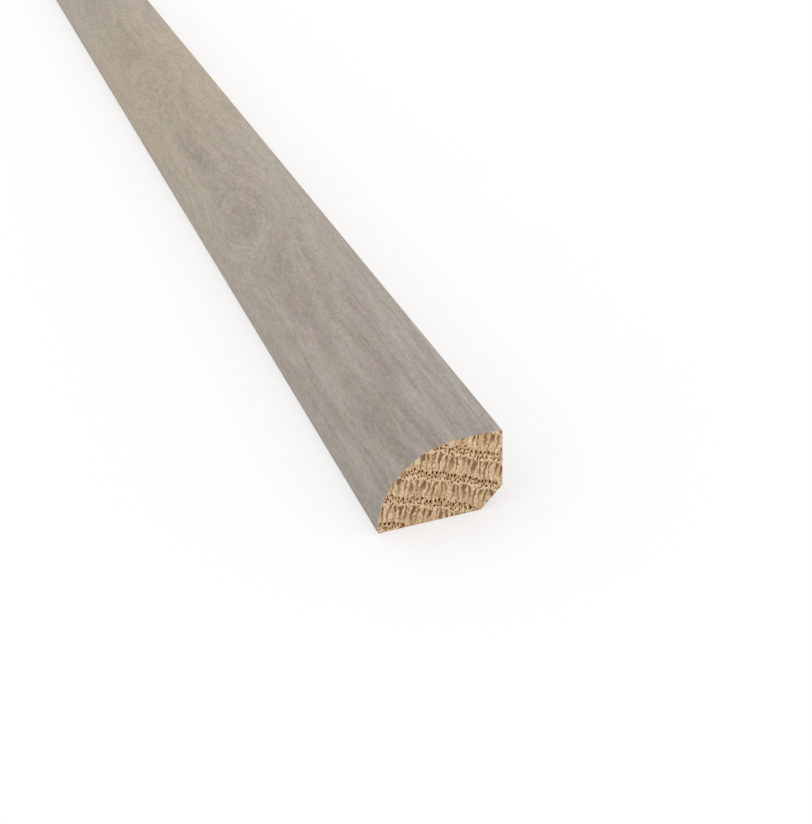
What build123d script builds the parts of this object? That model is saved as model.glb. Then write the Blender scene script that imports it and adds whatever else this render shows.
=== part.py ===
"""Shoe moulding: one length of solid oak trim with a quarter-round face, a flat top and a bevelled back corner.

The piece lies on its wide back face, as it does on a bench. +X runs along its length, +Y points out of the
narrow face that sits on the finished floor in use, and +Z is up, out of the flat top. The origin is under the
middle of the piece, on the surface that it lies on. All sizes are in millimetres.
"""

import os

from build123d import *

# Driving dimensions
LENGTH = 1981.2  # 78 in, the length that prefinished floor trim is sold in
WIDTH = 19.05  # 3/4 in, across the back face that is nailed to the skirting
THICKNESS = 12.7  # 1/2 in, up the face that sits on the floor
CORNER_BEVEL = 3.4  # both legs of the 45 degree bevel that clears the corner of wall and floor
ARRIS_RADIUS = 0.3  # sanded easing of the long edges

# The face is a full quarter turn, so it springs square off the back and runs level into the flat top
round_radius = THICKNESS
toe = -WIDTH / 2
heel = WIDTH / 2
round_centre = (toe + round_radius, 0)

with BuildPart() as moulding:
    with BuildSketch(Plane.YZ):
        with BuildLine():
            face = CenterArc(round_centre, round_radius, start_angle=90, arc_size=90)
            Polyline(face @ 1, (heel, 0), (heel, THICKNESS), face @ 0)
        make_face()
    extrude(amount=LENGTH / 2, both=True)

    # The back corner is planed off before the edges are sanded
    long_edges = moulding.edges().filter_by(Axis.X)
    back_corner = long_edges.group_by(Axis.Z)[0].sort_by(Axis.Y)[-1]
    chamfer(back_corner, length=CORNER_BEVEL)

    # Every long corner is eased, but not the line where the round runs level into the flat top
    long_edges = moulding.edges().filter_by(Axis.X)
    level_line = long_edges.group_by(Axis.Z)[-1].sort_by(Axis.Y)[0]
    fillet(long_edges - [level_line], radius=ARRIS_RADIUS)

moulding.part.label = "shoe_moulding"

os.makedirs("parts", exist_ok=True)
export_step(moulding.part, "parts/shoe_moulding.step")
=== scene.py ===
"""Looks of the shoe moulding: a length of oak trim with a grey-washed face and a sawn end towards the camera.

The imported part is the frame. One mesh replaces its node, with the same section in finer steps, the open
pores of the sawn ends as real pits, and procedural oak on every face. Shapes are worked out in millimetres,
measured across from the toe of the round and back from the near end, and become metres when the mesh is made.
"""

import math

import bpy
import numpy as np
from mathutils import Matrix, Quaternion, Vector
from mathutils.geometry import delaunay_2d_cdt


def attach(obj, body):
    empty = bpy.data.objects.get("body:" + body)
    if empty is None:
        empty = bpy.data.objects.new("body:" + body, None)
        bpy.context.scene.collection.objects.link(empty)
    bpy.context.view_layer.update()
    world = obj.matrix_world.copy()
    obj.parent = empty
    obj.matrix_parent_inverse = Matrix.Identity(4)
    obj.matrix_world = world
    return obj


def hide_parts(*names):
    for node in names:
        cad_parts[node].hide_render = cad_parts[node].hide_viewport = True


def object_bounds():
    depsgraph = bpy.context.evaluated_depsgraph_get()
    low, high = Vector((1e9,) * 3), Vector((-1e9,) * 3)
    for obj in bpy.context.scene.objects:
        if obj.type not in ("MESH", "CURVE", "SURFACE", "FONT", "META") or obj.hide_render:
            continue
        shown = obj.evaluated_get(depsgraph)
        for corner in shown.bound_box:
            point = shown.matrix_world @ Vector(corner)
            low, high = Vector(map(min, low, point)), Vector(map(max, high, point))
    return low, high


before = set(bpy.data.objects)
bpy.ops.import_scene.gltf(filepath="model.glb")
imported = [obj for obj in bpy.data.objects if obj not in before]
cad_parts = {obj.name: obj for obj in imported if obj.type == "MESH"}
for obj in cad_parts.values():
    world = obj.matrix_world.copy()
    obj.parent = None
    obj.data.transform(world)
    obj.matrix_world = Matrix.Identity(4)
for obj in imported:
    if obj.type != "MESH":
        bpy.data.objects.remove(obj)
cad_low, cad_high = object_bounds()

# Section of the part, from the frame and the sizes of its two kinds of trimmed corner
MM = 0.001
length = (cad_high.x - cad_low.x) / MM
width = 2 * cad_high.y / MM  # the eased toe stops just short of it
height = (cad_high.z - cad_low.z) / MM
CORNER_BEVEL = 3.4
BEVEL_ANGLE = 45
ARRIS_RADIUS = 0.3

# Steps of the mesh
ROUND_STEPS = 48
ARRIS_STEPS = 4
FLAT_STEP = 1.0
END_STEP = 0.2
END_JITTER = 0.25  # how far a loose point of a sawn end may stray, in steps
INSIDE_ONLY = 1  # the kind of triangulation that stops at the outline
TOUCHING = 1e-6
PORE_SIDES = 10
SHARP_ANGLE = 40

# The square that the looks are baked on: strips of the length above a band for the two ends
BAKE_STRIPS = 6
STATIONS_PER_STRIP = 64
STATIONS = BAKE_STRIPS * STATIONS_PER_STRIP
SHOW_SHARE = 0.6
BAKE_MARGIN = 0.004
END_BAND = 0.34

# Growth rings of the sawn ends, measured from the toe of the round at the near end
PITH = np.array([-18.7, -67.9])
PITH_WANDER = np.array([2.5, 1.5])
PITH_TURNS = (1.7, 2.3)
FIRST_ROW_RADIUS = 71.7
RING_WIDTH = 4.3
RING_WAVES = ((0.16, 1.7, 0.6), (0.09, 3.9, 2.1))  # height, rate across the section and start of each
RAY_LEAN = 0.2
COLUMN_PITCH = 0.93
RING_RELIEF = 0.02
SAW_RELIEF = 0.006

# Open pores: a tier has its height in the row, the pitch of its pores and their half-size
PORE_ROWS = 5
PORE_TIERS = ((0.38, 0.34, 0.205), (-0.06, 0.4, 0.2), (-0.44, 0.5, 0.17), (-0.76, 0.9, 0.14))
ROW_SPREAD = 0.1
SIZE_RANGE = (0.7, 1.2)
PITCH_RANGE = (0.65, 1.4)
PORE_WIDE = 0.75
PORE_TALL = 1.25
RIM_SWELL = 0.12
PORE_REACH = 1.4  # furthest that a rim comes from its middle, in half-sizes
PORE_GAP = 1.33  # least distance between two pores, at which their rims stay apart
PORE_LIP = (0.68, 0.35)  # how far the pit has narrowed at the foot of its lip, and how deep that is
PORE_FLOOR = 0.45
PORE_DEPTHS = (0.9, 2.2)

# Figure of the show face: the crown of the grain and the eyes along it, measured from the near end
CROWN = 11.8
CROWN_WIDTH = 4.0
SHOULDER = 15.0  # the face is drawn darkest about here
LINE_RISE = 1.5
EYE_DEPTH = 4.6
EYE_REACH = 15.0
EYE_GAPS = (80.0, 170.0)
FIRST_EYES = (94.5, 188.0, 268.0)
FIRST_WARMTHS = (0.2, 1.0, 0.3)
WARM_REACH = 56.0
PALEST = 110.0
PALE_PERIOD = 240.0

# Depths of the bump that the materials add, and the pitch of the planer's ripples
WASH_BUMP = 0.02
SAWN_BUMP = 0.03
PLANED_BUMP = 0.04
RIPPLE_PITCH = 1.5

# Camera, fitted to the edges in the photograph and placed from the toe of the near end, in metres
LENS = 62.61
CAMERA_PLACE = Vector((0.15758, -0.04917, 0.11727))
SIGHT_LINE = Vector((-0.81433, 0.27919, -0.50885))
ROLL = -2.0165
NEAREST_SEEN = 0.01

# Floor, in metres, a hair below the back face so that the two don't share a plane
FLOOR_HALF = 5.0
FLOOR_GAP = 0.00002
FLOOR_GREY = 0.7  # as the light that it throws back on the piece sees it
FLOOR_GLOW = 0.5  # share of its white, as the camera sees it, that no shadow darkens

WHITE = (1.0, 1.0, 1.0, 1.0)

# Materials of the mesh, in the order of its slots
RAW_OAK, GREY_WASH, END_GRAIN, OPEN_PORE = range(4)
SEED = 7


def arc(centre, radius, start, end, steps):
    """Points along an arc of the section, without the last one. Angles are in degrees from +Y towards +Z."""
    angles = np.radians(np.linspace(start, end, steps, endpoint=False))
    return np.column_stack((centre[0] + radius * np.cos(angles), centre[1] + radius * np.sin(angles)))


def on_circle(centre, radius, angle):
    """The point of a circle at an angle in degrees."""
    return arc(centre, radius, angle, angle, 1)[0]


def run(start, end):
    """Points along a straight of the section, without the last one."""
    steps = math.ceil(np.linalg.norm(end - start) / FLAT_STEP)
    return np.linspace(start, end, steps, endpoint=False)


def section():
    """Outline of the section, anticlockwise from the toe at the near end, and the finish of each step."""
    r = ARRIS_RADIUS
    bevel = 270 + BEVEL_ANGLE  # the way that the bevel faces
    setback = r * math.tan(math.radians(BEVEL_ANGLE / 2))
    round_centre = (height, 0)
    toe_centre = (height - math.sqrt((height - r) ** 2 - r**2), r)
    touch = math.degrees(math.atan2(r, toe_centre[0] - height))
    back_centre = (width - CORNER_BEVEL - setback, r)
    floor_centre = (width - r, CORNER_BEVEL + setback)
    heel_centre = (width - r, height - r)
    pieces = [
        (run(on_circle(toe_centre, r, 270), on_circle(back_centre, r, 270)), RAW_OAK),
        (arc(back_centre, r, 270, bevel, ARRIS_STEPS), RAW_OAK),
        (run(on_circle(back_centre, r, bevel), on_circle(floor_centre, r, bevel)), RAW_OAK),
        (arc(floor_centre, r, bevel, 360, ARRIS_STEPS), RAW_OAK),
        (run(on_circle(floor_centre, r, 0), on_circle(heel_centre, r, 0)), RAW_OAK),
        (arc(heel_centre, r, 0, 90, ARRIS_STEPS), GREY_WASH),
        (run(on_circle(heel_centre, r, 90), on_circle(round_centre, height, 90)), GREY_WASH),
        (arc(round_centre, height, 90, touch, ROUND_STEPS), GREY_WASH),
        (arc(toe_centre, r, touch, 270, ARRIS_STEPS), GREY_WASH),
    ]
    points = np.vstack([piece for piece, finish in pieces])
    finishes = np.concatenate([np.full(len(piece), finish) for piece, finish in pieces])
    return points, finishes


def clearance(points, outline):
    """How far each point lies inside the outline, which is convex."""
    edge = np.roll(outline, -1, axis=0) - outline
    inward = np.column_stack((-edge[:, 1], edge[:, 0])) / np.linalg.norm(edge, axis=1)[:, None]
    return np.einsum("pej,ej->pe", points[:, None, :] - outline[None], inward).min(axis=1)


def pith_at(from_end):
    """Centre of the growth rings at a distance from the near end: it wanders slowly along the length."""
    turn = np.asarray(from_end) / length * np.pi
    across, up = PITH_TURNS
    return PITH + PITH_WANDER * np.stack((np.sin(across * turn), 1 - np.cos(up * turn)), axis=-1)


def ring_wobble(across):
    """How far a growth ring strays from a circle, by the distance across the section."""
    return sum(size * np.sin(rate * across + start) for size, rate, start in RING_WAVES)


def growth_rings(from_end, across, up):
    """Number of growth rings out from the first pore row. Whole numbers are the middles of the pore rows."""
    centre = pith_at(from_end)
    radius = np.hypot(across - centre[..., 0], up - centre[..., 1])
    return (radius - FIRST_ROW_RADIUS + ring_wobble(across)) / RING_WIDTH


def place_eyes(rng):
    """Where the eyes lie along the length, and how warm the wood is round each one."""
    gaps = rng.uniform(*EYE_GAPS, math.ceil(length / EYE_GAPS[0]))
    places = np.concatenate((FIRST_EYES, FIRST_EYES[-1] + np.cumsum(gaps)))
    return places, np.concatenate((FIRST_WARMTHS, rng.uniform(0, 1, len(gaps))))


def bells(from_end, places, reach):
    """How near each point is to each place along the length: 1 at it, and almost 0 at twice the reach."""
    return np.exp(-(((from_end[:, None] - places) / reach) ** 2))


def face_figure(from_end, girth, eyes):
    """Lines of grain across the show face, running straight along its crown and bulging round each eye."""
    ridge = np.hypot(girth - CROWN, CROWN_WIDTH) - CROWN_WIDTH
    return (ridge - EYE_DEPTH * bells(from_end, eyes, EYE_REACH).sum(axis=1)) / LINE_RISE


def paleness_and_near_shade(from_end):
    """How pale the wash is: darkened with painted shade at the near end, palest a little way in, and slowly
    changing from there.
    """
    rise = np.clip(from_end / PALEST, 0, 1)
    swing = 0.8 + 0.2 * np.cos(2 * np.pi * (from_end - PALEST) / PALE_PERIOD)
    return rise**2 * (3 - 2 * rise) * swing


def pore_fits(across, up, half, others, outline):
    """Whether a pore lies inside the outline and clear of the other pores."""
    if clearance(np.array([[across, up]]), outline)[0] < PORE_REACH * half + END_STEP / 4:
        return False
    gaps = [
        math.hypot((across - y) / PORE_WIDE, (up - z) / PORE_TALL) / (half + other)
        for y, z, other in others
    ]
    return min(gaps, default=math.inf) > PORE_GAP


def scatter_pores(from_end, outline, rng):
    """Centres and half-sizes of the open pores on one sawn end, in rows of several tiers."""
    centre = pith_at(from_end)
    kept = []
    for row in range(PORE_ROWS):
        for offset, pitch, size in PORE_TIERS:
            row_radius = FIRST_ROW_RADIUS + row * RING_WIDTH + offset
            across = rng.uniform(0, pitch)
            while across < width:
                radius = row_radius - ring_wobble(across) + rng.normal(0, ROW_SPREAD)
                up = centre[1] + math.sqrt(radius**2 - (across - centre[0]) ** 2)
                half = size * rng.uniform(*SIZE_RANGE)
                if pore_fits(across, up, half, kept, outline):
                    kept.append((across, up, half))
                across += pitch * rng.uniform(*PITCH_RANGE)
    return np.array(kept)


def pore_rim(across, up, half, rng):
    """Rim of one pore: an uneven oval, longer along the rays than across them."""
    angles = np.linspace(0, 2 * np.pi, PORE_SIDES, endpoint=False)
    swell = 1 + rng.uniform(-RIM_SWELL, RIM_SWELL, PORE_SIDES)
    rise = PORE_TALL * half * np.sin(angles) * swell
    return np.column_stack((across + PORE_WIDE * half * np.cos(angles) * swell + RAY_LEAN * rise, up + rise))


def sawn_end(from_end, outline, rng):
    """One sawn end: its points as (depth, across, up), its faces, and the material of each face.

    Faces are anticlockwise from outside at the near end. They count the outline's points first, which aren't
    among the points given back.
    """
    pores = scatter_pores(from_end, outline, rng)
    rims = [pore_rim(*pore, rng) for pore in pores]

    # Loose points between the pores carry the ring coordinates and the relief
    grid = np.stack(np.meshgrid(np.arange(0, width, END_STEP), np.arange(0, height, END_STEP)), axis=-1)
    grid = grid.reshape(-1, 2) + rng.uniform(-END_JITTER, END_JITTER, (grid.size // 2, 2)) * END_STEP
    grid = grid[clearance(grid, outline) > END_STEP / 2]
    reach = np.linalg.norm(grid[:, None] - pores[None, :, :2], axis=2) - PORE_REACH * pores[:, 2]
    grid = grid[reach.min(axis=1) > END_STEP / 4]

    flat = np.vstack([outline, *rims, grid])
    owner = np.full(len(flat), -1)
    owner[len(outline):-len(grid)] = np.repeat(np.arange(len(rims)), PORE_SIDES)
    loops = [np.arange(len(outline))]
    loops += [len(outline) + number * PORE_SIDES + np.arange(PORE_SIDES) for number in range(len(rims))]
    edges = [(int(a), int(b)) for loop in loops for a, b in zip(loop, np.roll(loop, -1))]
    result = delaunay_2d_cdt([Vector(point) for point in flat], edges, [], INSIDE_ONLY, TOUCHING)
    source = np.array([origins[0] for origins in result[3]])
    triangles = source[np.array(result[2])]
    inside_pore = (owner[triangles] == owner[triangles][:, :1]).all(axis=1) & (owner[triangles[:, 0]] >= 0)
    faces = triangles[~inside_pore].tolist()
    materials = [END_GRAIN] * len(faces)

    # Latewood stands a little proud of the rows of pores
    ring = growth_rings(np.full(len(flat), from_end), flat[:, 0], flat[:, 1])
    depth = RING_RELIEF * (0.5 + 0.5 * np.cos(2 * np.pi * ring)) + rng.uniform(0, SAW_RELIEF, len(flat))
    points = [np.column_stack((depth, flat))[len(outline):]]
    count = len(flat)

    # Each pore is a pit with a worn lip, which narrows to a floor that its material darkens with painted
    # shade
    for loop, (across, up, half) in zip(loops[1:], pores):
        upper = loop
        for narrowing, sink in (PORE_LIP, (PORE_FLOOR, rng.uniform(*PORE_DEPTHS))):
            place = (across, up) + narrowing * (flat[loop] - (across, up))
            points.append(np.column_stack((np.full(PORE_SIDES, half * sink), place)))
            lower = np.arange(count, count + PORE_SIDES)
            faces += np.column_stack((upper, np.roll(upper, -1), np.roll(lower, -1), lower)).tolist()
            count += PORE_SIDES
            upper = lower
        faces.append(upper.tolist())
        materials += [OPEN_PORE] * (2 * PORE_SIDES + 1)
    return np.vstack(points), faces, materials


def bake_ends(corner):
    """Place of the sawn ends in the bake square, side by side at its foot."""
    place = corner[:, 1:] * (0.5 - 2 * BAKE_MARGIN) / width + BAKE_MARGIN
    place[:, 0] += np.where(corner[:, 0] > length / 2, 0.5, 0.0)
    return place


def bake_long_faces(station, girth, grey_girth, whole_girth):
    """Place of the long faces in the bake square, in strips that have the show face below the raw faces."""
    strip = (station.min(axis=1) // STATIONS_PER_STRIP)[:, None]
    along = (station / STATIONS_PER_STRIP - strip) * (1 - 2 * BAKE_MARGIN) + BAKE_MARGIN
    strip_height = (1 - END_BAND) / BAKE_STRIPS
    show_height = SHOW_SHARE * strip_height
    raw_height = strip_height - show_height - 2 * BAKE_MARGIN
    on_show = (girth.mean(axis=1) < grey_girth)[:, None]
    show = girth / grey_girth * show_height
    raw = show_height + BAKE_MARGIN + (girth - grey_girth) / (whole_girth - grey_girth) * raw_height
    up = END_BAND + strip * strip_height + np.where(on_show, show, raw)
    return np.column_stack((along.ravel(), up.ravel()))


def add_layer(mesh, name, domain, values):
    """Gives the mesh one number at each point or corner, for its materials to read."""
    layer = mesh.attributes.new(name, "FLOAT", domain)
    layer.data.foreach_set("value", values.astype(np.float32))


def add_grain(mesh, table, corner, corner_girth, sunk, rng):
    """Gives the mesh the grain coordinates that its materials read."""
    eyes, warmths = place_eyes(rng)
    add_layer(mesh, "girth", "CORNER", corner_girth)
    add_layer(mesh, "figure", "CORNER", face_figure(corner[:, 0], corner_girth, eyes))
    add_layer(mesh, "ring", "POINT", growth_rings(table[:, 0], table[:, 1], table[:, 2]))
    add_layer(mesh, "ray", "POINT", table[:, 1] - RAY_LEAN * table[:, 2])
    add_layer(mesh, "paleness_and_near_shade", "POINT", paleness_and_near_shade(table[:, 0]))
    add_layer(mesh, "warmth", "POINT", bells(table[:, 0], eyes, WARM_REACH) @ warmths)
    add_layer(mesh, "sunk", "POINT", sunk)


def build_mesh():
    """The whole length as one closed mesh, with its grain coordinates and its map of the bake square."""
    rng = np.random.default_rng(SEED)
    outline, finishes = section()
    around = len(outline)

    # Long faces, station by station, with the place of each corner along the length and round the girth
    from_end = np.linspace(length, 0, STATIONS + 1)
    table = np.column_stack((np.repeat(from_end, around), np.tile(outline, (STATIONS + 1, 1))))
    sunk = np.zeros(len(table))
    row, spot = np.divmod(np.arange(STATIONS * around), around)
    station = row[:, None] + [0, 0, 1, 1]
    faces = (station * around + (spot[:, None] + [0, 1, 1, 0]) % around).tolist()
    materials = finishes[spot].tolist()
    steps = np.linalg.norm(np.roll(outline, -1, axis=0) - outline, axis=1)
    girth_after = np.cumsum(steps[::-1])[::-1]
    girth = girth_after[spot][:, None] - steps[spot][:, None] * [0, 1, 1, 0]
    long_corners = girth.size

    # The far end comes first and is turned about, so its faces run the other way round
    for place, first, way in ((length, 0, -1), (0.0, STATIONS * around, 1)):
        extra, end_faces, end_materials = sawn_end(place, outline, rng)
        shift = len(table) - around
        for face in end_faces:
            faces.append([first + corner if corner < around else shift + corner for corner in face][::way])
        materials += end_materials
        table = np.vstack((table, np.column_stack((place + way * extra[:, 0], extra[:, 1:]))))
        sunk = np.concatenate((sunk, extra[:, 0]))

    mesh = bpy.data.meshes.new("oak_shoe_moulding")
    placed = np.column_stack((cad_high.x / MM - table[:, 0], table[:, 1] - width / 2, table[:, 2])) * MM
    mesh.from_pydata(placed.tolist(), [], faces)
    mesh.polygons.foreach_set("material_index", materials)
    mesh.polygons.foreach_set("use_smooth", [True] * len(faces))
    mesh.set_sharp_from_angle(angle=math.radians(SHARP_ANGLE))

    corner_point = np.empty(len(mesh.loops), int)
    mesh.loops.foreach_get("vertex_index", corner_point)
    corner = table[corner_point]
    corner_girth = np.zeros(len(corner))
    corner_girth[:long_corners] = girth.ravel()
    add_grain(mesh, table, corner, corner_girth, sunk, rng)

    bake = bake_ends(corner)
    bake[:long_corners] = bake_long_faces(station, girth, steps[finishes == GREY_WASH].sum(), steps.sum())
    layer = mesh.uv_layers.new(name="OFBake")
    layer.data.foreach_set("uv", bake.ravel())
    mesh.update()
    return mesh


def linear(red, green, blue):
    """A colour given as it looks on a screen, 0 to 255, in the linear values that a shader takes."""
    shown = np.array([red, green, blue]) / 255
    values = np.where(shown <= 0.04045, shown / 12.92, ((shown + 0.055) / 1.055) ** 2.4)
    return (*values, 1.0)


class Nodes:
    """A material's node tree, with one short call for each kind of node that the materials use."""

    def __init__(self, name):
        self.material = bpy.data.materials.new(name)
        self.material.use_nodes = True
        self.tree = self.material.node_tree
        self.shader = self.tree.nodes["Principled BSDF"]

    def put(self, socket, value):
        """Sets an input to a constant, or links it to another node's output."""
        if isinstance(value, bpy.types.NodeSocket):
            self.tree.links.new(value, socket)
        else:
            socket.default_value = value

    def add(self, kind, inputs, output=0, **settings):
        """Adds a node and returns one of its outputs."""
        node = self.tree.nodes.new(kind)
        for name, value in settings.items():
            setattr(node, name, value)
        for key, value in inputs.items():
            self.put(node.inputs[key], value)
        return node.outputs[output]

    def math(self, operation, *values):
        return self.add("ShaderNodeMath", dict(enumerate(values)), operation=operation)

    def attribute(self, name):
        return self.add("ShaderNodeAttribute", {}, "Fac", attribute_name=name)

    def total(self, *terms):
        """Adds up terms that are each a value and its weight."""
        result = 0.0
        for value, weight in terms:
            result = self.math("MULTIPLY_ADD", value, weight, result)
        return result

    def sway(self, value, noise, reach):
        """Pushes a value both ways by a noise, over the whole of a reach."""
        return self.math("MULTIPLY_ADD", self.math("SUBTRACT", noise, 0.5), reach, value)

    def noise(self, first, second, scales, layer=0.0, detail=2.0, roughness=0.5, distortion=0.0):
        """Noise over two coordinates, each with its own scale, in one of many separate layers."""
        first = self.math("MULTIPLY", first, scales[0])
        second = self.math("MULTIPLY", second, scales[1])
        place = self.add("ShaderNodeCombineXYZ", {"X": first, "Y": second, "Z": layer})
        inputs = {"Vector": place, "Scale": 1.0, "Detail": detail}
        inputs |= {"Roughness": roughness, "Distortion": distortion}
        return self.add("ShaderNodeTexNoise", inputs)

    def spread(self, value, low, high, to_low=0.0, to_high=1.0):
        """Maps one range of a value onto another, smoothly and with its ends held."""
        inputs = {"Value": value, 1: low, 2: high, 3: to_low, 4: to_high}
        return self.add("ShaderNodeMapRange", inputs, interpolation_type="SMOOTHSTEP")

    def mix(self, factor, first, second, blend="MIX"):
        inputs = {"Factor": factor, 6: first, 7: second}
        return self.add("ShaderNodeMix", inputs, 2, data_type="RGBA", blend_type=blend)

    def bump(self, height, depth):
        """Bump of a depth in millimetres."""
        return self.add("ShaderNodeBump", {"Height": height, "Distance": depth * MM})

    def along(self):
        """Distance along the length in millimetres."""
        place = self.add("ShaderNodeTexCoord", {}, "Object")
        return self.math("MULTIPLY", self.add("ShaderNodeSeparateXYZ", {"Vector": place}, "X"), 1 / MM)

    def finish(self, **sockets):
        """Sets the shader's own sockets, named with _ for a space, and returns the material."""
        for name, value in sockets.items():
            self.put(self.shader.inputs[name.replace("_", " ")], value)
        return self.material


def grey_wash():
    """Show face: oak under a thin grey wash and a matt lacquer, with soft grain that follows the figure."""
    n = Nodes("grey_washed_face")
    along = n.along()
    girth = n.attribute("girth")
    level = n.attribute("figure")
    pale = n.attribute("paleness_and_near_shade")
    warmth = n.attribute("warmth")

    # The lines of grain wander, and tangle inside the eyes
    drift = n.noise(along, girth, (0.045, 0.3), detail=3.0)
    tangle = n.noise(along, girth, (0.28, 0.7), 8.0, detail=3.0)
    figure = n.sway(n.sway(level, drift, 1.5), tangle, n.spread(level, -3.0, 0.5, 1.3, 0.3))

    # Broad bands, growth lines that come and go and are clearest at the eyes, finer streaks along them, and
    # slits where pores are filled
    band = n.noise(along, figure, (0.03, 0.9), 2.0)
    comes = n.noise(along, girth, (0.025, 0.5))
    line = n.spread(n.math("PINGPONG", n.math("MULTIPLY", figure, 1.6), 0.5), 0.0, 0.25, 1.0, 0.0)
    line = n.math("MULTIPLY", line, n.spread(comes, 0.35, 0.65))
    line = n.math("MULTIPLY", line, n.spread(level, -2.0, 1.5, 1.0, 0.5))
    streak = n.noise(along, figure, (0.07, 3.0), detail=3.0, roughness=0.5, distortion=0.4)
    slit = n.noise(along, figure, (0.4, 2.4), 3.0, detail=2.0, roughness=0.55, distortion=0.3)

    # The slits stay off the crown, where the figure is level and they would lie across the grain
    from_crown = n.math("ABSOLUTE", n.math("SUBTRACT", girth, CROWN))
    filled = n.math("MULTIPLY", n.spread(slit, 0.6, 0.72), n.spread(from_crown, 0.8, 2.4))

    # Clots, flecks and a fine mottle, whatever the grain does
    clot = n.noise(along, girth, (0.2, 0.7), 6.0, detail=4.0, roughness=0.65, distortion=0.5)
    fleck = n.noise(along, girth, (1.0, 1.4), detail=3.0, roughness=0.6, distortion=0.5)
    mottle = n.noise(along, girth, (2.2, 2.4), roughness=0.7)

    # Dark patches lie on the crown between the eyes, and in the heart of an eye that isn't warm
    from_shoulder = n.math("ABSOLUTE", n.math("SUBTRACT", girth, SHOULDER))
    patch = n.noise(along, girth, (0.09, 0.35), 4.0, detail=4.0, roughness=0.6)
    heart = n.math("MULTIPLY", n.spread(n.math("ABSOLUTE", figure), 0.2, 1.0, 1.0, 0.0),
                   n.spread(from_crown, 0.8, 3.6, 1.0, 0.0))
    pupil = n.math("MULTIPLY", n.spread(level, -2.9, -1.4, 1.0, 0.0), n.spread(warmth, 0.2, 0.8, 1.0, 0.0))

    # The wash is deep or pale, cool or warm along the length, darkened with painted shade towards the near
    # end, and pinker or greener in soft clouds.
    # The flat top is tinted a little bluer, as painted light from above
    # The deep wash holds the painted shade of the near end, and the deeper tone of the wash further along
    deep_wash_and_near_shade = linear(181, 173, 164)
    pale_wash = linear(190, 182, 169)
    warm_wash = linear(200, 184, 158)
    pinker = (1.05, 0.95, 1.03, 1.0)
    greener = (0.95, 1.02, 0.93, 1.0)
    painted_skylight_tint = (1.0, 1.0, 1.035, 1.0)
    wash = n.mix(warmth, n.mix(pale, deep_wash_and_near_shade, pale_wash), warm_wash)
    pink = n.noise(along, girth, (0.08, 0.22), detail=5.0, roughness=0.7)
    wash = n.mix(n.spread(pink, 0.4, 0.65), wash, pinker, "MULTIPLY")
    green = n.noise(along, girth, (0.14, 0.4), 9.0, detail=5.0, roughness=0.7)
    wash = n.mix(n.spread(green, 0.4, 0.65), wash, greener, "MULTIPLY")
    # Painted light: the flat top, facing up, is tinted bluer as if lit by cool light from above
    wash = n.mix(n.spread(girth, 14.0, 21.0), wash, painted_skylight_tint, "MULTIPLY")

    # All of it darkens the wash, and the shoulder and the toe are darker than the rest
    shade = n.total(
        (n.spread(band, 0.34, 0.66), 0.24),
        (n.spread(streak, 0.3, 0.7), 0.16),
        (line, 0.36),
        (filled, 0.25),
        (n.spread(clot, 0.3, 0.7), 0.38),
        (n.spread(fleck, 0.3, 0.7), 0.36),
        (n.spread(mottle, 0.25, 0.75), 0.42),
        (n.math("MULTIPLY", heart, patch), 0.27),
        (n.math("MULTIPLY", pupil, patch), 0.45),
        (n.spread(from_shoulder, 1.0, 9.0, 1.0, 0.0), 0.2),
        (n.spread(girth, 0.1, 0.9, 1.0, 0.0), 0.25),
    )

    # Bands and streaks stand out more towards the near end, where the wash is darkened with painted shade
    deep = n.spread(pale, 0.0, 0.45, 0.32, 0.0)
    shade = n.sway(shade, n.spread(band, 0.34, 0.66), deep)
    shade = n.sway(shade, n.spread(streak, 0.3, 0.7), deep)
    dark_grain = linear(132, 121, 110)
    colour = n.mix(n.math("MULTIPLY", shade, 0.5), wash, dark_grain)
    bump = n.bump(n.total((streak, 1.0), (fleck, 0.6), (filled, -0.6)), WASH_BUMP)
    roughness = n.spread(fleck, 0.3, 0.7, 0.5, 0.62)
    return n.finish(Base_Color=colour, Roughness=roughness, Specular_IOR_Level=0.3, Normal=bump)


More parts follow.
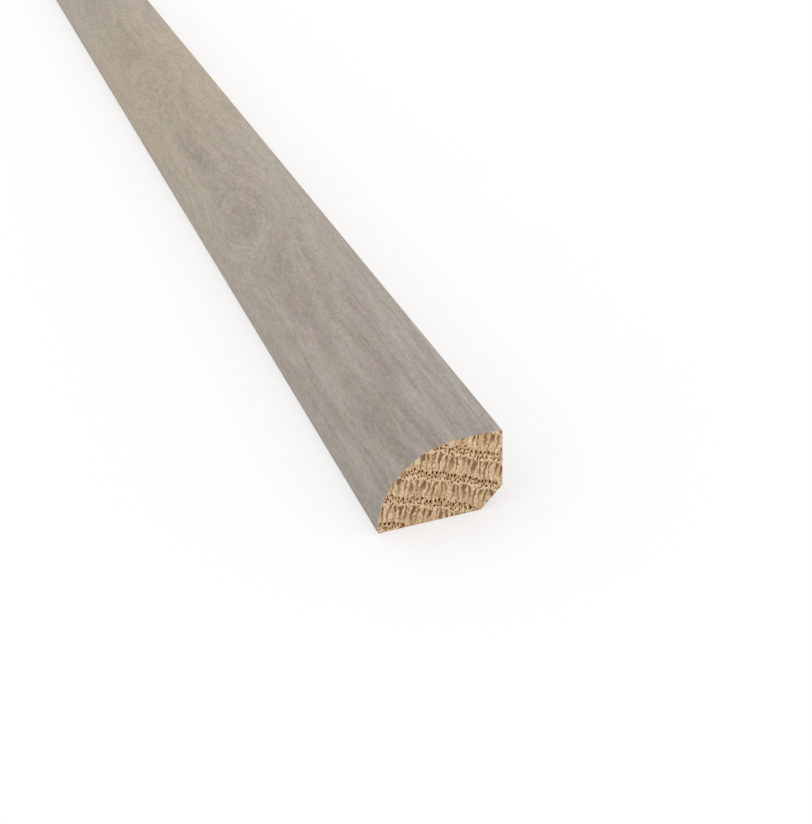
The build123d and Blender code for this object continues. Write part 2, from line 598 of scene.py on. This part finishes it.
def end_grain():
    """Sawn end: pale earlywood round the pore rows, and brown flames of latewood below the next row."""
    n = Nodes("sawn_end_grain")
    ring = n.attribute("ring")
    ray = n.attribute("ray")
    radial = n.math("MULTIPLY", ring, RING_WIDTH)

    # Columns stand side by side along the rays and sway, and their tops scallop the edge of the row above
    swing = n.noise(ray, radial, (0.9, 0.42), detail=3.0, roughness=0.52)
    bent = n.total((ray, 1.0), (swing, 2.0))
    column = n.math("SINE", n.math("MULTIPLY", bent, 2 * math.pi / COLUMN_PITCH))
    wave = n.noise(ray, radial, (1.3, 0.39), detail=3.0)
    edge = n.sway(n.math("MULTIPLY", column, 0.025), wave, 0.2)
    stage = n.math("ADD", ring, edge)
    phase = n.math("FRACT", stage)

    # Flames are widest and darkest just under the next row of pores
    strength = n.noise(bent, radial, (0.6, 0.45), 3.0, detail=4.0, roughness=0.6)
    rise = n.spread(phase, 0.05, 0.8)
    reach = n.sway(n.total((column, 1.4), (rise, 1.1)), strength, 6.0)
    flame = n.math("MULTIPLY", n.spread(reach, -0.4, 2.4), n.spread(phase, 0.78, 0.83, 1.0, 0.0))
    light = n.noise(bent, radial, (3.4, 0.3), detail=4.0, roughness=0.65)
    speck = n.noise(ray, radial, (3.2, 2.6), detail=3.0, roughness=0.75)

    # Earlywood: small cells of cream and brown round the pores, above a broken cream edge
    cells = n.noise(ray, radial, (3.0, 2.4), 5.0, roughness=0.7)
    offset = n.math("SUBTRACT", n.math("FRACT", n.math("ADD", stage, 0.5)), 0.5)
    row = n.math("MULTIPLY", n.spread(offset, -0.2, -0.16), n.spread(offset, 0.08, 0.17, 1.0, 0.0))
    lower = n.math("MULTIPLY", n.spread(offset, -0.15, -0.04, 1.0, 0.0), n.spread(cells, 0.35, 0.5, 0.2, 0.9))

    tan_wood = linear(211, 174, 132)
    cream_wood = linear(252, 224, 187)
    pale_speck = linear(248, 223, 193)
    brown_speck = linear(138, 100, 62)
    dark_flame = linear(116, 81, 48)
    light_flame = linear(156, 120, 83)
    brown_cell = linear(146, 102, 58)
    cream_cell = linear(245, 215, 172)
    cream_edge = linear(246, 220, 183)
    burnt = n.mix(n.spread(light, 0.3, 0.7), dark_flame, light_flame)
    wood = n.mix(n.spread(light, 0.36, 0.64), tan_wood, cream_wood)
    wood = n.mix(n.spread(speck, 0.3, 0.5, 0.65, 0.0), wood, pale_speck)
    wood = n.mix(n.math("MULTIPLY", flame, n.spread(rise, 0.0, 1.0, 0.5, 1.0)), wood, burnt)
    wood = n.mix(n.spread(speck, 0.48, 0.66, 0.0, 0.75), wood, brown_speck)
    early = n.mix(n.spread(cells, 0.42, 0.6), brown_cell, cream_cell)
    early = n.mix(lower, early, cream_edge)
    wood = n.mix(n.math("MULTIPLY", row, 0.85), wood, early)
    bump = n.bump(n.math("ADD", light, speck), SAWN_BUMP)
    return n.finish(Base_Color=wood, Roughness=0.8, Specular_IOR_Level=0.15, Normal=bump)


def open_pore():
    """Inside of a pore: brown at its worn lip, and darker towards the bottom of the pit, as painted shade."""
    n = Nodes("open_pore")
    sunk = n.attribute("sunk")
    tint = n.noise(n.attribute("ray"), n.attribute("ring"), (3.0, 3.0))
    brown_lip = linear(130, 88, 44)
    pale_lip = linear(188, 144, 92)
    # The wall and floor colours are painted shade, darker the deeper they lie in the pit
    shaded_pit_wall = linear(92, 58, 27)
    shaded_pit_floor = linear(60, 37, 16)
    colour = n.mix(n.spread(sunk, 0.01, 0.09), n.mix(tint, brown_lip, pale_lip), shaded_pit_wall)
    colour = n.mix(n.spread(sunk, 0.08, 0.35), colour, shaded_pit_floor)
    return n.finish(Base_Color=colour, Roughness=0.9, Specular_IOR_Level=0.1)


def raw_oak():
    """Back, bevel and floor face: bare planed oak, with open pores in rows and faint cutter ripples."""
    n = Nodes("raw_planed_oak")
    along = n.along()
    girth = n.attribute("girth")
    drift = n.noise(along, girth, (0.012, 0.2), detail=4.0, roughness=0.6)
    grain = n.sway(n.attribute("ring"), drift, 0.5)
    row = n.spread(n.math("PINGPONG", grain, 0.5), 0.08, 0.24, 1.0, 0.0)
    late = n.spread(n.math("FRACT", grain), 0.2, 0.85)

    # Long fibres, short dark pores that crowd in the rows, and pale flecks where rays are cut
    fibre = n.noise(along, girth, (0.03, 2.6), detail=6.0, roughness=0.7)
    dash = n.noise(along, girth, (0.3, 5.0), roughness=0.55)
    pore = n.spread(n.total((dash, 1.0), (row, 0.1)), 0.61, 0.69)
    fleck = n.noise(along, girth, (0.35, 1.6), 6.0)
    ripple = n.math("SINE", n.math("MULTIPLY", along, 2 * math.pi / RIPPLE_PITCH))

    early_wood = linear(212, 183, 147)
    late_wood = linear(188, 155, 119)
    brown_fibre = linear(164, 130, 95)
    cream_fleck = linear(222, 196, 160)
    brown_row = linear(176, 140, 102)
    dark_pore = linear(106, 77, 51)
    wood = n.mix(late, early_wood, late_wood)
    wood = n.mix(n.spread(fibre, 0.4, 0.68, 0.0, 0.65), wood, brown_fibre)
    wood = n.mix(n.spread(fleck, 0.58, 0.72, 0.0, 0.4), wood, cream_fleck)
    wood = n.mix(n.math("MULTIPLY", row, 0.25), wood, brown_row)
    wood = n.mix(n.math("MULTIPLY", pore, 0.75), wood, dark_pore)
    bump = n.bump(n.total((fibre, 1.0), (ripple, 0.15), (pore, -0.6)), PLANED_BUMP)
    return n.finish(Base_Color=wood, Roughness=0.7, Specular_IOR_Level=0.2, Normal=bump)


def place_moulding():
    """Puts the mesh in the frame in the node's place."""
    mesh = build_mesh()
    for material in (raw_oak(), grey_wash(), end_grain(), open_pore()):
        mesh.materials.append(material)
    piece = bpy.data.objects.new("oak_shoe_moulding", mesh)
    bpy.context.collection.objects.link(piece)
    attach(piece, "root")
    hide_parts("shoe_moulding")


def floor_material():
    """Plain pale floor, which the camera sees as white under a soft shadow of the piece."""
    n = Nodes("white_floor")
    path = n.tree.nodes.new("ShaderNodeLightPath").outputs
    seen = n.math("ADD", path["Is Camera Ray"], path["Is Glossy Ray"])
    seen = n.math("MAXIMUM", seen, path["Is Transmission Ray"])
    white = n.add("ShaderNodeBsdfDiffuse", {"Color": WHITE})
    glow = n.add("ShaderNodeEmission", {"Color": WHITE, "Strength": 1.0})
    shown = n.add("ShaderNodeMixShader", {"Fac": FLOOR_GLOW, 1: white, 2: glow})
    pale = n.add("ShaderNodeBsdfDiffuse", {"Color": (FLOOR_GREY, FLOOR_GREY, FLOOR_GREY, 1.0)})
    surface = n.add("ShaderNodeMixShader", {"Fac": seen, 1: pale, 2: shown})
    n.tree.nodes.remove(n.shader)
    n.put(n.tree.nodes["Material Output"].inputs["Surface"], surface)
    return n.material


def place_floor():
    """A plain pale floor under the piece."""
    signs = ((-1, -1), (1, -1), (1, 1), (-1, 1))
    corners = [(FLOOR_HALF * x, FLOOR_HALF * y, 0) for x, y in signs]
    mesh = bpy.data.meshes.new("floor")
    mesh.from_pydata(corners, [], [(0, 1, 2, 3)])
    mesh.materials.append(floor_material())
    floor = bpy.data.objects.new("floor", mesh)
    floor.location.z = cad_low.z - FLOOR_GAP
    bpy.context.collection.objects.link(floor)


def light_scene():
    """Soft white light from all round."""
    world = bpy.data.worlds.new("studio")
    world.use_nodes = True
    background = world.node_tree.nodes["Background"]
    background.inputs["Color"].default_value = WHITE
    background.inputs["Strength"].default_value = 1.0
    bpy.context.scene.world = world


def place_camera():
    """Camera at the photograph's viewpoint, looking down at the near end."""
    near_toe = Vector((cad_high.x, -cad_high.y, cad_low.z))
    data = bpy.data.cameras.new("camera")
    data.lens = LENS
    data.clip_start = NEAREST_SEEN
    camera = bpy.data.objects.new("camera", data)
    camera.location = near_toe + CAMERA_PLACE
    roll = Quaternion((0, 0, 1), math.radians(ROLL))
    camera.rotation_mode = "QUATERNION"
    camera.rotation_quaternion = SIGHT_LINE.to_track_quat("-Z", "Y") @ roll
    bpy.context.collection.objects.link(camera)
    bpy.context.scene.camera = camera


place_moulding()
place_floor()
light_scene()
place_camera()
bpy.context.scene.view_settings.view_transform = "Standard"
